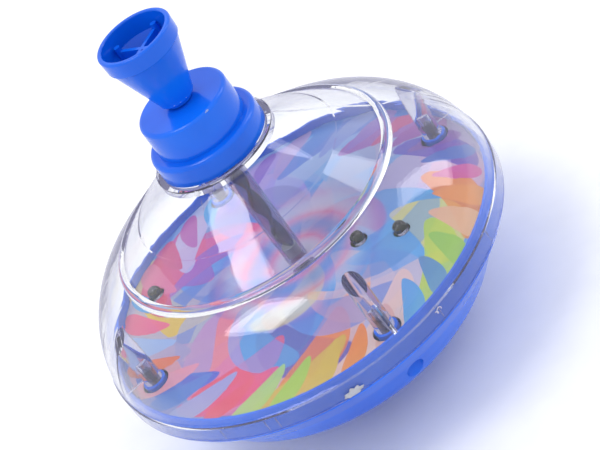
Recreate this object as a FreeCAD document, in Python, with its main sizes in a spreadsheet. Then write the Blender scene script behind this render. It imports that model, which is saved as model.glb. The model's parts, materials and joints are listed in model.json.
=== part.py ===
import FreeCAD, Part
import Sketcher
import math
import os

from FreeCAD import Placement, Rotation, Vector

# Push-down spinning top. Millimetres, +Z up along the spin axis, origin at the foot's contact point.

DIMENSIONS = [
    # overall
    ("rim_radius", 77.0, "dome's lower corner"),
    ("rim_level", 50.0, "height of the dome's lower corner above the foot"),
    ("skirt_radius", 77.5, "clear skirt below the corner"),
    ("skirt_foot", 43.0, "lower edge of the clear skirt"),
    ("shell_wall", 1.5, "wall of the clear dome"),
    ("base_wall", 2.0, "wall of the blue base"),
    # dome
    ("neck_radius", 22.4, "neck flange of the dome"),
    ("neck_top", 104.8, "top face of the neck flange"),
    ("neck_band", 2.8, "height of the neck flange"),
    ("neck_hole", 9.3, "hole in the top of the dome"),
    ("bead_radius", 52.2, "middle of the ring bead"),
    ("bead_level", 79.5, "height of the ring bead"),
    # fixing posts
    ("post_circle", 65.1, "radius of the circle of posts"),
    ("post_angle", 8.8, "direction of the first post"),
    ("post_radius", 3.4, "clear post on the dome"),
    ("post_foot", 49.2, "lower end of the clear posts"),
    ("rib_thick", 1.4, "clear rib from a post out to the dome"),
    ("rib_foot", 51.8, "lower edge of the clear ribs"),
    ("boss_radius", 4.3, "blue boss under a clear post"),
    ("well_radius", 3.5, "screw well in the base"),
    ("well_top", 36.0, "seat of the screw head in its well"),
    ("screw_radius", 1.3, "thread of the assembly screws"),
    ("screw_head", 2.8, "head of the assembly screws"),
    ("screw_length", 20.0, "thread length of the assembly screws"),
    # picture disc and lights
    ("disc_radius", 73.3, "printed disc"),
    ("disc_level", 47.4, "underside of the printed disc"),
    ("disc_thick", 0.6, "thickness of the printed disc"),
    ("disc_post_hole", 5.2, "hole round each blue boss"),
    ("lip_top", 51.2, "upper edge of the blue lip round the disc"),
    ("led_line", -36.2, "direction of the row of lights"),
    ("led_inner", 25.3, "first light from the centre"),
    ("led_middle", 42.0, "second light from the centre"),
    ("led_far", -61.0, "light on the other side of the centre"),
    ("led_radius", 2.5, "body of a light"),
    ("led_hole", 3.3, "hole in the disc over a light"),
    ("board_level", 42.0, "underside of the circuit board"),
    ("board_thick", 1.2, "thickness of the circuit board"),
    ("board_width", 12.0, "width of the circuit board"),
    # collar, cap and drive
    ("collar_radius", 20.2, "lower step of the cap"),
    ("collar_top", 112.7, "top face of the lower step"),
    ("cap_radius", 16.7, "upper step of the cap"),
    ("cap_spigot", 13.0, "spigot of the upper step inside the lower one"),
    ("cap_top", 125.2, "top face of the upper step"),
    ("cap_bore", 3.4, "hole in the cap for the drive strip"),
    ("tube_radius", 4.0, "outside of the guide tube"),
    ("tube_bore", 3.0, "inside of the guide tube"),
    ("tube_foot", 48.1, "lower end of the guide tube"),
    ("tube_flange", 12.0, "flange at the top of the guide tube"),
    ("strip_width", 4.8, "drive strip"),
    ("strip_thick", 1.1, "drive strip"),
    ("strip_pitch", 30.0, "one full twist of the drive strip"),
    ("strip_foot", 51.0, "lower end of the drive strip"),
    ("strip_top", 133.8, "upper end of the drive strip"),
    ("slot_gap", 0.08, "clearance of the strip in the nut"),
    ("stop_length", 4.0, "stop bush on the strip's lower end"),
    ("ratchet_level", 106.0, "underside of the ratchet ring"),
    ("ratchet_radius", 16.5, "outside of the ratchet ring"),
    ("ratchet_bore", 2.7, "hole in the ratchet ring for the drive strip"),
    ("ratchet_thick", 1.6, "plate of the ratchet ring"),
    ("tooth_height", 1.3, "ratchet tooth"),
    ("tooth_run", 2.8, "length of a tooth's ramp"),
    ("tooth_start", 6.4, "inner end of a tooth"),
    ("tooth_length", 4.2, "length of a tooth along the radius"),
    ("nut_radius", 11.0, "drive nut"),
    ("nut_neck", 6.0, "upper part of the drive nut"),
    ("nut_foot", 111.0, "underside of the drive nut"),
    ("nut_height", 7.3, "height of the drive nut"),
    ("washer_level", 118.8, "underside of the thrust washer"),
    ("washer_radius", 9.5, "thrust washer"),
    ("washer_bore", 3.6, "hole in the thrust washer"),
    # knob
    ("knob_radius", 13.8, "rim of the knob"),
    ("knob_foot", 126.8, "lower end of the knob"),
    ("knob_top", 154.4, "rim of the knob above the foot"),
    ("knob_stem", 6.6, "radius of the knob's lower end"),
    ("knob_boss", 4.4, "boss under the knob that lands on the cap"),
    ("knob_rest", 125.55, "lower face of that boss"),
    ("knob_wall", 1.8, "wall of the knob"),
    ("knob_band", 6.4, "height of the band round the rim"),
    ("cup_floor", 135.0, "floor of the knob's cup"),
    ("web_top", 149.0, "top edge of the cross web"),
    ("web_thick", 1.3, "cross web"),
    ("web_angle", 40.0, "direction of the cross web"),
    ("pin_radius", 0.8, "cross pin in the knob"),
    ("pin_level", 3.2, "height of the cross pin above the knob's lower end"),
    ("pin_near", 3.6, "reach of the cross pin towards the closed side"),
    ("pin_far", 5.6, "reach of the cross pin towards the open side"),
    # foot
    ("foot_radius", 5.0, "foot tip"),
    ("foot_height", 7.2, "foot tip"),
    ("foot_flat", 1.3, "flat that the top spins on"),
    ("foot_pin", 2.0, "steel pin of the foot"),
    ("pin_foot", 3.5, "lower end of the steel pin"),
    ("pin_top", 29.7, "upper end of the steel pin"),
    ("groove_radius", 1.6, "groove for the clip in the pin"),
    ("groove_level", 27.4, "lower side of the groove"),
    ("clip_thick", 0.8, "thickness of the clip"),
    ("clip_radius", 3.6, "outside of the clip"),
    ("bush_bore", 2.06, "bore of the foot bush"),
    ("bush_radius", 4.0, "outside of the foot bush"),
    ("bush_top", 27.0, "upper end of the foot bush"),
    # base
    ("crease_radius", 69.4, "crease under the base's sloping band"),
    ("crease_level", 33.8, "height of that crease"),
    ("wall_radius", 62.8, "lower wall of the base"),
    ("wall_level", 25.0, "height at which the lower wall starts to curve in"),
    ("turn_radius", 56.0, "inner end of that curve"),
    ("turn_level", 18.2, "height of the inner end of that curve"),
    ("floor_level", 14.0, "flat underside of the base"),
    ("floor_radius", 47.5, "flat underside of the base"),
    ("hub_radius", 9.0, "hub round the foot bush"),
    ("hub_foot", 7.6, "lower end of the hub"),
    ("hub_top", 31.0, "upper end of the hub"),
    ("peg_radius", 3.0, "small screw peg inside the base"),
    ("peg_screw", 0.9, "thread of the small screws"),
    ("peg_inner", 33.3, "first peg under the circuit board, from the centre"),
    ("peg_far", -48.6, "second peg under the circuit board, from the centre"),
    # battery compartment
    ("bay_angle", 54.7, "direction of the battery compartment"),
    ("bay_radius", 25.5, "distance of the compartment from the axis"),
    ("door_depth", 22.0, "battery door, along the radius"),
    ("door_width", 36.0, "battery door, across the radius"),
    ("door_screw_at", 14.5, "door screw, across the radius"),
    ("cells_at", -3.0, "middle of the cells, across the radius"),
    ("holder_height", 15.0, "battery holder"),
    ("cell_radius", 5.8, "button cell"),
    ("cell_thick", 5.4, "button cell"),
]


class Size:
    """A number together with the spreadsheet expression that gives it."""

    def __init__(self, value, text):
        self.value = value
        self.text = text

    @staticmethod
    def of(other):
        return other if isinstance(other, Size) else Size(float(other), repr(float(other)))

    def __add__(self, other):
        other = Size.of(other)
        return Size(self.value + other.value, f"({self.text} + {other.text})")

    def __sub__(self, other):
        other = Size.of(other)
        return Size(self.value - other.value, f"({self.text} - {other.text})")

    def __mul__(self, other):
        other = Size.of(other)
        return Size(self.value * other.value, f"({self.text} * {other.text})")

    def __truediv__(self, other):
        other = Size.of(other)
        return Size(self.value / other.value, f"({self.text} / {other.text})")

    def __rsub__(self, other):
        return Size.of(other) - self

    def __neg__(self):
        return self * -1

    __radd__ = __add__
    __rmul__ = __mul__


class Dims:
    """The driving dimensions, each as a Size named after its cell."""


def cosine(angle):
    return Size(math.cos(math.radians(angle.value)), f"cos({angle.text})")


def sine(angle):
    return Size(math.sin(math.radians(angle.value)), f"sin({angle.text})")


doc = FreeCAD.newDocument("spinning_top")
sheet = doc.addObject("Spreadsheet::Sheet", "dims")
d = Dims()
for row, (alias, value, meaning) in enumerate(DIMENSIONS, start=1):
    sheet.set(f"A{row}", meaning)
    sheet.set(f"B{row}", str(value))
    sheet.setAlias(f"B{row}", alias)
    setattr(d, alias, Size(value, f"dims.{alias}"))
doc.recompute()

NODES = []


def node(label, obj):
    """Name an object as one separate piece of the top."""
    obj.Label = label
    NODES.append(obj)
    return obj


# ---------------------------------------------------------------- building blocks


def bind(obj, **sizes):
    """Bind properties of an object to the spreadsheet."""
    for prop, size in sizes.items():
        path = prop.replace("__", ".")
        obj.setExpression(path, Size.of(size).text)


def place(obj, x=0.0, y=0.0, z=0.0, turn=0.0):
    """Put an object at a point, turned about the upright through it."""
    x, y, z, turn = (Size.of(item) for item in (x, y, z, turn))
    upright = Rotation(Vector(0, 0, 1), turn.value)
    obj.Placement = Placement(Vector(x.value, y.value, z.value), upright)
    bind(obj, Placement__Base__x=x, Placement__Base__y=y, Placement__Base__z=z)
    if turn.text.startswith("dims") or turn.text.startswith("("):
        bind(obj, Placement__Rotation__Angle=turn)
    return obj


def polar(radius, angle):
    """The x and y of a point at a radius and a direction."""
    return Size.of(radius) * cosine(angle), Size.of(radius) * sine(angle)


def cylinder(name, radius, height, x=0.0, y=0.0, z=0.0):
    obj = doc.addObject("Part::Cylinder", name)
    bind(obj, Radius=radius, Height=height)
    return place(obj, x, y, z)


def cut(name, base, tool):
    obj = doc.addObject("Part::Cut", name)
    obj.Base = base
    obj.Tool = tool
    return obj


def common(name, *shapes):
    obj = doc.addObject("Part::MultiCommon", name)
    obj.Shapes = list(shapes)
    return obj


def fuse(name, *shapes):
    obj = doc.addObject("Part::MultiFuse", name)
    obj.Shapes = list(shapes)
    return obj


def group(name, *links):
    """Separate solids that share one node."""
    obj = doc.addObject("Part::Compound", name)
    obj.Links = list(links)
    return obj


def locate(sketch, geometry, position, x, y):
    """Tie a point of a sketch to its x and y."""
    for kind, axis, size in (("DistanceX", -2, x), ("DistanceY", -1, y)):
        if abs(size.value) < 1e-9:
            sketch.addConstraint(Sketcher.Constraint("PointOnObject", geometry, position, axis))
            continue
        datum = Sketcher.Constraint(kind, -1, 1, geometry, position, size.value)
        index = sketch.addConstraint(datum)
        sketch.setExpression(f"Constraints[{index}]", size.text)


def outline(sketch, steps):
    """Draw a closed outline. A step is (x, y), or (x, y, via_x, via_y) for an arc that ends there."""
    steps = [[Size.of(item) for item in step] for step in steps]
    ends = []
    for step, before in zip(steps, [steps[-1]] + steps[:-1]):
        start = Vector(before[0].value, before[1].value, 0)
        end = Vector(step[0].value, step[1].value, 0)
        if len(step) == 2:
            index = sketch.addGeometry(Part.LineSegment(start, end), False)
            ends.append((index, 1, 2))
            continue
        via = Vector(step[2].value, step[3].value, 0)
        turns_left = (via - start).cross(end - via).z > 0
        arc = Part.Arc(start, via, end) if turns_left else Part.Arc(end, via, start)
        index = sketch.addGeometry(arc, False)
        ends.append((index, 1, 2) if turns_left else (index, 2, 1))
        point = sketch.addGeometry(Part.Point(via), True)
        locate(sketch, point, 1, step[2], step[3])
        sketch.addConstraint(Sketcher.Constraint("PointOnObject", point, 1, index))
    for (index, _, last), (following, head, _) in zip(ends, ends[1:] + ends[:1]):
        sketch.addConstraint(Sketcher.Constraint("Coincident", index, last, following, head))
    for (index, _, last), step in zip(ends, steps):
        locate(sketch, index, last, step[0], step[1])


def turned(name, steps):
    """A solid of revolution about Z from an outline of (radius, height) steps."""
    sketch = doc.addObject("Sketcher::SketchObject", name + "_outline")
    sketch.Placement = Placement(Vector(0, 0, 0), Rotation(Vector(1, 0, 0), 90))
    outline(sketch, steps)
    obj = doc.addObject("Part::Revolution", name)
    obj.Source = sketch
    obj.Axis = Vector(0, 0, 1)
    obj.Angle = 360
    obj.Solid = True
    return obj


def new_body(name):
    return doc.addObject("PartDesign::Body", name)


def sketch_on(body, role, name, offset=0.0):
    """A sketch on one of a body's own origin planes."""
    sketch = body.newObject("Sketcher::SketchObject", name)
    plane = [item for item in body.Origin.OriginFeatures if item.Role == role][0]
    sketch.AttachmentSupport = [(plane, "")]
    sketch.MapMode = "FlatFace"
    offset = Size.of(offset)
    sketch.AttachmentOffset = Placement(Vector(0, 0, offset.value), Rotation())
    bind(sketch, AttachmentOffset__Base__z=offset)
    return sketch


def circle(sketch, radius, x=0.0, y=0.0):
    x, y, radius = Size.of(x), Size.of(y), Size.of(radius)
    centre = Vector(x.value, y.value, 0)
    index = sketch.addGeometry(Part.Circle(centre, Vector(0, 0, 1), radius.value), False)
    datum = sketch.addConstraint(Sketcher.Constraint("Radius", index, radius.value))
    sketch.setExpression(f"Constraints[{datum}]", radius.text)
    locate(sketch, index, 3, x, y)


def revolve(body, name, steps):
    """The first feature of a turned body."""
    sketch = sketch_on(body, "XZ_Plane", name + "_outline")
    outline(sketch, steps)
    feature = body.newObject("PartDesign::Revolution", name)
    feature.Profile = sketch
    feature.ReferenceAxis = (sketch, ["V_Axis"])
    feature.Angle = 360
    doc.recompute()
    return feature


def pad(body, name, sketch, length):
    feature = body.newObject("PartDesign::Pad", name)
    feature.Profile = sketch
    feature.Length = Size.of(length).value
    bind(feature, Length=length)
    doc.recompute()
    return feature


def pocket(body, name, sketch, length):
    """A pocket that runs up from its sketch, and must remove material."""
    volume = body.Shape.Volume
    feature = body.newObject("PartDesign::Pocket", name)
    feature.Profile = sketch
    feature.Length = Size.of(length).value
    feature.Reversed = True
    bind(feature, Length=length)
    doc.recompute()
    if body.Shape.Volume >= volume:
        raise RuntimeError(f"{name} removed nothing")
    return feature


def ring(body, name, bore, radius, foot, thick):
    """A flat ring as the first feature of a body."""
    top = foot + thick
    revolve(body, name, [(bore, foot), (radius, foot), (radius, top), (bore, top)])


def around(body, name, features, count):
    """Repeat features evenly round the body's Z axis."""
    pattern = body.newObject("PartDesign::PolarPattern", name)
    pattern.Originals = features
    z_axis = [item for item in body.Origin.OriginFeatures if item.Role == "Z_Axis"][0]
    pattern.Axis = (z_axis, [""])
    pattern.Angle = 360
    pattern.Occurrences = count
    body.Tip = pattern
    doc.recompute()
    return pattern


def quarter_points():
    """The four fixing posts, as (number, x, y)."""
    for number in range(4):
        yield number, *polar(d.post_circle, d.post_angle + 90.0 * number)


def bay_point(across, side=1):
    """The x and y of a point in the battery bay, or opposite it with side -1."""
    px, py = polar(d.bay_radius * side, d.bay_angle)
    qx, qy = polar(across, d.bay_angle + 90.0)
    return px + qx, py + qy


def in_bay(obj, y=0.0, z=0.0, side=1):
    """Move an object from round the origin into the battery bay, or opposite it with side -1."""
    return place(obj, *bay_point(y, side), z, d.bay_angle)


def peg_points():
    """The two screw pegs under the circuit board, as (number, x, y)."""
    for number, along in enumerate((d.peg_inner, d.peg_far)):
        yield number, *polar(along, d.led_line)


def lamp_points():
    """The three lights, each as its distance along the row."""
    return d.led_inner, d.led_middle, d.led_far


def on_board(obj, along, z, across=0.0):
    """Move an object from round the origin onto the row of lights."""
    px, py = polar(along, d.led_line)
    qx, qy = polar(across, d.led_line + 90.0)
    return place(obj, px + qx, py + qy, z, d.led_line)


def lay_down(obj, x, y, z, direction):
    """Put a cylinder at a point with its axis level, towards a direction."""
    heading = math.radians(direction.value)
    axis = Vector(math.cos(heading), math.sin(heading), 0)
    obj.Placement = Placement(Vector(x.value, y.value, z.value), Rotation(Vector(0, 0, 1), axis))
    bind(obj, Placement__Base__x=x, Placement__Base__y=y, Placement__Base__z=z)
    return obj


def turn_over(obj, x, y, z):
    """Put an object at a point upside down."""
    obj.Placement = Placement(Vector(x.value, y.value, z.value), Rotation(Vector(1, 0, 0), 180))
    bind(obj, Placement__Base__x=x, Placement__Base__y=y, Placement__Base__z=z)
    return obj


def centred_box(name, length, width, height):
    """A box centred on the origin in plan, ready to be turned and moved."""
    body = new_body(name)
    sketch = sketch_on(body, "XY_Plane", name + "_plan")
    half_l = Size.of(length) / 2
    half_w = Size.of(width) / 2
    outline(sketch, [(-half_l, -half_w), (half_l, -half_w), (half_l, half_w), (-half_l, half_w)])
    pad(body, name + "_pad", sketch, height)
    return body


# ---------------------------------------------------------------- clear dome


def dome():
    wall = d.shell_wall
    bead = 1.6
    outer = [
        (0, d.neck_top),
        (d.neck_radius, d.neck_top),
        (d.neck_radius, d.neck_top - d.neck_band),
        (d.neck_radius - 0.3, d.neck_top - d.neck_band - 0.2),
        (d.neck_radius + 16.6, d.neck_top - 15.0, d.neck_radius + 7.2, d.neck_top - 8.9),
        (d.bead_radius - bead, d.bead_level + 1.1),
        (d.bead_radius + bead, d.bead_level - 1.2, d.bead_radius + 0.55, d.bead_level + 0.85),
        (d.rim_radius, d.rim_level, d.rim_radius - 7.6, d.rim_level + 17.4),
        (d.skirt_radius, d.rim_level - 0.6),
        (d.skirt_radius, d.skirt_foot + 0.5),
        (d.skirt_radius - 0.5, d.skirt_foot),
        (0, d.skirt_foot),
    ]
    inner = [
        (0, d.neck_top - wall - 0.3),
        (d.neck_radius - 2.6, d.neck_top - wall - 0.3),
        (d.neck_radius - 2.2, d.neck_top - d.neck_band - 1.1),
        (d.neck_radius + 15.5, d.neck_top - 16.3, d.neck_radius + 6.0, d.neck_top - 10.1),
        (d.bead_radius - 0.9, d.bead_level - wall),
        (d.rim_radius - wall - 0.1, d.rim_level, d.rim_radius - 8.8, d.rim_level + 16.4),
        (d.skirt_radius - wall, d.rim_level - 0.8),
        (d.skirt_radius - wall, d.skirt_foot - 1.0),
        (0, d.skirt_foot - 1.0),
    ]
    solid = turned("dome_outside", outer)
    tall = 40.0
    rods = []
    holes = []
    for number, x, y in quarter_points():
        angle = d.post_angle + 90.0 * number
        rods.append(cylinder(f"dome_post_{number}", d.post_radius, tall, x, y, d.post_foot))
        rib = centred_box(f"dome_rib_{number}", d.rim_radius - d.post_circle, d.rib_thick, tall)
        reach = (d.rim_radius + d.post_circle) / 2
        rods.append(place(rib, *polar(reach, angle), d.rib_foot, angle))
        holes.append(cylinder(f"dome_pilot_{number}", d.screw_radius, 10.0, x, y, d.post_foot - 1.0))
    neck = cylinder("dome_neck_hole", d.neck_hole, 6.0, z=d.neck_top - 4.0)
    shell = cut("dome_shell", solid, turned("dome_inside", inner))
    posts = common("dome_posts", turned("dome_limit", outer), fuse("dome_rods", *rods))
    whole = fuse("dome_with_posts", shell, posts)
    return node("dome", cut("dome_body", whole, fuse("dome_holes", neck, *holes)))


# ---------------------------------------------------------------- blue base


def base_bowl():
    wall = d.base_wall
    lip = d.skirt_radius - d.shell_wall - 0.3
    seat = d.disc_radius + 0.1
    ledge = d.disc_radius - 1.2
    outer = [
        (0, d.lip_top),
        (lip - 1.3, d.lip_top),
        (lip, d.rim_level - 1.2),
        (lip, d.skirt_foot),
        (lip + 0.9, d.skirt_foot - 0.4),
        (lip + 0.6, d.skirt_foot - 1.2),
        (d.crease_radius, d.crease_level),
        (d.crease_radius - 0.6, d.crease_level - 0.4),
        (d.wall_radius, d.wall_level),
        (d.turn_radius, d.turn_level, d.wall_radius - 2.8, d.wall_level - 3.6),
        (d.floor_radius, d.floor_level),
        (d.hub_radius, d.floor_level),
        (d.hub_radius, d.hub_foot),
        (0, d.hub_foot),
    ]
    inner = [
        (0, d.lip_top + 1.0),
        (seat, d.lip_top + 1.0),
        (seat, d.disc_level),
        (ledge, d.disc_level),
        (ledge, d.skirt_foot),
        (d.crease_radius - 2.2, d.crease_level + 0.4),
        (d.wall_radius - 1.9, d.wall_level + 1.0),
        (d.turn_radius - 0.9, d.turn_level + wall, d.wall_radius - 4.4, d.wall_level - 2.0),
        (d.floor_radius - 0.8, d.floor_level + wall),
        (0, d.floor_level + wall),
    ]
    bosses = []
    tools = []
    root = d.floor_level + 0.5
    for number, x, y in quarter_points():
        top = d.post_foot - 0.2
        bosses.append(cylinder(f"base_boss_{number}", d.boss_radius, top - root, x, y, root))
        deep = d.well_top - d.hub_foot
        tools.append(cylinder(f"base_well_{number}", d.well_radius, deep, x, y, d.hub_foot))
        clearance = d.screw_radius + 0.3
        tools.append(cylinder(f"base_screw_hole_{number}", clearance, 20.0, x, y, d.well_top - 6.0))
    for number, x, y in peg_points():
        tall = d.board_level - root
        bosses.append(cylinder(f"base_board_peg_{number}", d.peg_radius, tall, x, y, root))
        tools.append(cylinder(f"base_board_hole_{number}", d.peg_screw, 8.0, x, y, d.board_level - 7.0))
    x, y = bay_point(0.0, side=-1)
    bosses.append(cylinder("base_weight_peg", d.peg_radius, 6.0, x, y, root))
    tools.append(cylinder("base_weight_hole", d.peg_screw, 5.0, x, y, root + 1.5))
    hub_height = d.hub_top - d.hub_foot
    hub = cylinder("base_hub", d.hub_radius, hub_height, z=d.hub_foot)
    tools.append(cylinder("base_hub_bore", d.bush_radius, hub_height + 2.0, z=d.hub_foot - 1.0))
    door = centred_box("base_door_opening", d.door_depth + 0.3, d.door_width + 0.3, 6.0)
    tools.append(in_bay(door, z=d.floor_level - 2.0))
    shell = cut("base_shell", turned("base_outside", outer), turned("base_inside", inner))
    inside = common("base_bosses", turned("base_limit", outer), fuse("base_rods", *bosses))
    whole = fuse("base_with_bosses", shell, inside, hub)
    return node("base_bowl", cut("base_body", whole, fuse("base_tools", *tools)))


# ---------------------------------------------------------------- cap and drive


def collar():
    body = new_body("collar")
    radius, top, foot = d.collar_radius, d.collar_top, d.neck_top
    wall = 2.2
    hole = d.cap_spigot + 0.1
    revolve(body, "collar_ring", [
        (radius - wall, foot),
        (radius, foot),
        (radius - 0.1, top - 1.8),
        (radius - 1.7, top, radius - 0.6, top - 0.5),
        (hole, top),
        (hole, top - wall),
        (radius - wall, top - wall),
    ])
    return node("lower_collar", body)


def upper_cap():
    body = new_body("cap")
    radius, top, foot = d.cap_radius, d.cap_top, d.collar_top
    roof = top - 2.3
    bearing = d.washer_level + 1.6
    spigot_foot = foot - 2.9
    revolve(body, "cap_shell", [
        (d.cap_spigot, foot),
        (radius, foot),
        (radius - 0.1, top - 1.6),
        (radius - 1.6, top, radius - 0.55, top - 0.45),
        (d.cap_bore, top),
        (d.cap_bore, bearing),
        (d.cap_bore + 3.1, bearing),
        (d.cap_bore + 3.1, roof),
        (d.cap_spigot - 1.0, roof),
        (d.cap_spigot - 1.0, spigot_foot),
        (d.cap_spigot, spigot_foot),
    ])
    return node("upper_cap", body)


def guide_tube():
    body = new_body("tube")
    revolve(body, "tube_wall", [
        (d.tube_bore, d.tube_foot),
        (d.tube_radius - 0.5, d.tube_foot),
        (d.tube_radius, d.tube_foot + 1.6, d.tube_radius - 0.15, d.tube_foot + 0.7),
        (d.tube_radius, d.neck_top),
        (d.tube_flange, d.neck_top),
        (d.tube_flange, d.ratchet_level),
        (d.tube_bore, d.ratchet_level),
    ])
    return node("guide_tube", body)


def teeth(body, name, level, height):
    """Twelve saw teeth that stand up from a level, or hang from it when the height is negative."""
    sketch = sketch_on(body, "YZ_Plane", name + "_outline", d.tooth_start)
    run = d.tooth_run if height.value > 0 else -d.tooth_run
    outline(sketch, [(0, level), (run, level), (0, level + height)])
    tooth = pad(body, name, sketch, d.tooth_length)
    around(body, name + "_ring", [tooth], 12)


def ratchet_ring():
    body = new_body("ratchet")
    ring(body, "ratchet_plate", d.ratchet_bore, d.ratchet_radius, d.ratchet_level, d.ratchet_thick)
    teeth(body, "ratchet_tooth", d.ratchet_level + d.ratchet_thick, d.tooth_height)
    return node("ratchet_ring", body)


def twisted(name, foot, top, gap=0.0):
    """A flat strip twisted about Z, whose twist depends on height alone."""
    obj = doc.addObject("Part::Feature", name)
    pitch = d.strip_pitch.value
    start = 360.0 * foot / pitch
    wide, thick = d.strip_width.value / 2 + gap, d.strip_thick.value / 2 + gap
    corners = [(wide, thick), (-wide, thick), (-wide, -thick), (wide, -thick), (wide, thick)]
    spine = Part.Wire(Part.makeLine(Vector(0, 0, foot), Vector(0, 0, top)))
    helix = Part.makeHelix(pitch, top - foot, 10.0)
    helix.rotate(Vector(0, 0, 0), Vector(0, 0, 1), start)
    helix.translate(Vector(0, 0, foot))
    section = Part.makePolygon([Vector(x, y, 0) for x, y in corners])
    section.rotate(Vector(0, 0, 0), Vector(0, 0, 1), start)
    section.translate(Vector(0, 0, foot))
    sweep = Part.BRepOffsetAPI.MakePipeShell(spine)
    sweep.setAuxiliarySpine(Part.Wire(helix), True, 0)
    sweep.add(section)
    sweep.build()
    sweep.makeSolid()
    obj.Shape = sweep.shape()
    return obj


def drive_strip():
    return node("spiral_rod", twisted("strip", d.strip_foot.value, d.strip_top.value))


def drive_nut():
    body = new_body("nut")
    foot, top = d.nut_foot, d.nut_foot + d.nut_height
    revolve(body, "nut_disc", [
        (0, foot),
        (d.nut_radius, foot),
        (d.nut_radius, foot + 2.4),
        (d.nut_neck, foot + 3.2),
        (d.nut_neck, top),
        (0, top),
    ])
    teeth(body, "nut_tooth", foot, -d.tooth_height)
    slot = twisted("nut_slot", foot.value - 3.0, top.value + 3.0, d.slot_gap.value)
    return node("drive_nut", cut("nut_with_slot", body, slot))


def thrust_washer():
    body = new_body("washer")
    ring(body, "washer_ring", d.washer_bore, d.washer_radius, d.washer_level, 1.0)
    return node("thrust_washer", body)


def stop_bush():
    bush = cylinder("stop_solid", d.tube_bore - 0.12, d.stop_length, z=d.strip_foot)
    hole = twisted("stop_hole", d.strip_foot.value - 1.0, (d.strip_foot + d.stop_length).value + 1.0)
    return node("stop_bush", cut("stop_cut", bush, hole))


# ---------------------------------------------------------------- knob


def knob():
    wall, top, foot = d.knob_wall, d.knob_top, d.knob_foot
    radius, stem = d.knob_radius, d.knob_stem
    band = top - d.knob_band
    cup_radius = radius - wall
    outside = turned("knob_outside", [
        (0, d.knob_rest),
        (d.knob_boss, d.knob_rest),
        (d.knob_boss, foot),
        (stem - 1.6, foot),
        (stem, foot + 1.6, stem - 0.4, foot + 0.45),
        (radius - 0.7, band),
        (radius - 0.2, band + 0.5),
        (radius, top - 1.0),
        (radius - 0.8, top, radius - 0.22, top - 0.28),
        (0, top),
    ])
    cup = [
        (0, d.cup_floor),
        (stem - 2.2, d.cup_floor),
        (stem - 0.9, d.cup_floor + 1.4, stem - 1.25, d.cup_floor + 0.4),
        (cup_radius - 0.5, band),
        (cup_radius, top - 0.8),
        (cup_radius + 0.5, top + 0.1, cup_radius + 0.14, top - 0.2),
        (0, top + 0.1),
    ]
    height = d.web_top - d.cup_floor + 1.0
    webs = []
    for number in range(2):
        web = centred_box(f"knob_web_{number}", radius * 2, d.web_thick, height)
        webs.append(place(web, z=d.cup_floor - 1.0, turn=d.web_angle + 90.0 * number))
    posts = []
    for number in range(4):
        x, y = polar(cup_radius - 1.9, d.web_angle + 90.0 * number)
        posts.append(cylinder(f"knob_post_{number}", 1.1, height + 1.6, x, y, d.cup_floor - 1.0))
    limit = turned("knob_web_limit", cup)
    inside = common("knob_web", limit, fuse("knob_web_parts", *webs, *posts))
    shell = cut("knob_shell", outside, turned("knob_cup", cup))
    whole = fuse("knob_with_web", shell, inside)
    pin_hole = cross_pin_blank("knob_pin_hole", radius)
    strip_hole = twisted("knob_strip_hole", d.knob_rest.value - 1.0, d.strip_top.value)
    return node("knob", cut("knob_body", whole, fuse("knob_holes", pin_hole, strip_hole)))


def cross_pin_blank(name, reach):
    """A rod through the knob's stem, from just past the strip out to a reach along Y."""
    rod = doc.addObject("Part::Cylinder", name)
    bind(rod, Radius=d.pin_radius, Height=reach + d.pin_near)
    level = d.knob_foot + d.pin_level
    return lay_down(rod, Size.of(0), -d.pin_near, level, Size.of(90))


def cross_pin():
    foot, top = d.knob_foot.value, d.strip_top.value
    through = twisted("pin_passage", foot - 1.0, top + 1.0)
    return node("cross_pin", cut("pin_halves", cross_pin_blank("pin_rod", d.pin_far), through))


# ---------------------------------------------------------------- picture disc and lights


def printed_disc():
    body = new_body("disc")
    blank = sketch_on(body, "XY_Plane", "disc_outline", d.disc_level)
    circle(blank, d.disc_radius)
    pad(body, "disc_sheet", blank, d.disc_thick)
    lights = sketch_on(body, "XY_Plane", "disc_light_holes", d.disc_level - 1.0)
    for along in lamp_points():
        circle(lights, d.led_hole, *polar(along, d.led_line))
    pocket(body, "disc_lights", lights, 4.0)
    posts = sketch_on(body, "XY_Plane", "disc_post_holes", d.disc_level - 1.0)
    for _, x, y in quarter_points():
        circle(posts, d.disc_post_hole, x, y)
    pocket(body, "disc_posts", posts, 4.0)
    return node("printed_disc", body)


def lights():
    lamps = []
    radius = d.led_radius
    for number, along in enumerate(lamp_points()):
        lamp = turned(f"light_{number}", [
            (0, 0),
            (radius + 0.4, 0),
            (radius + 0.4, 1.0),
            (radius, 1.0),
            (radius, 6.1),
            (0.25, radius + 6.1, radius * 0.7071, radius * 0.7071 + 6.1),
            (0, radius + 6.1),
        ])
        lamps.append(on_board(lamp, along, d.board_level + d.board_thick))
    return node("led_lamps", group("light_group", *lamps))


def circuit_board():
    far, near = d.led_far - 5.0, d.led_middle + 6.0
    blank = centred_box("board_plate", near - far, d.board_width, d.board_thick)
    plate = on_board(blank, (near + far) / 2, d.board_level)
    holes = []
    for number, x, y in peg_points():
        holes.append(cylinder(f"board_hole_{number}", 1.25, 4.0, x, y, d.board_level - 1.0))
    return node("circuit_board", cut("board", plate, fuse("board_holes", *holes)))


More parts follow.
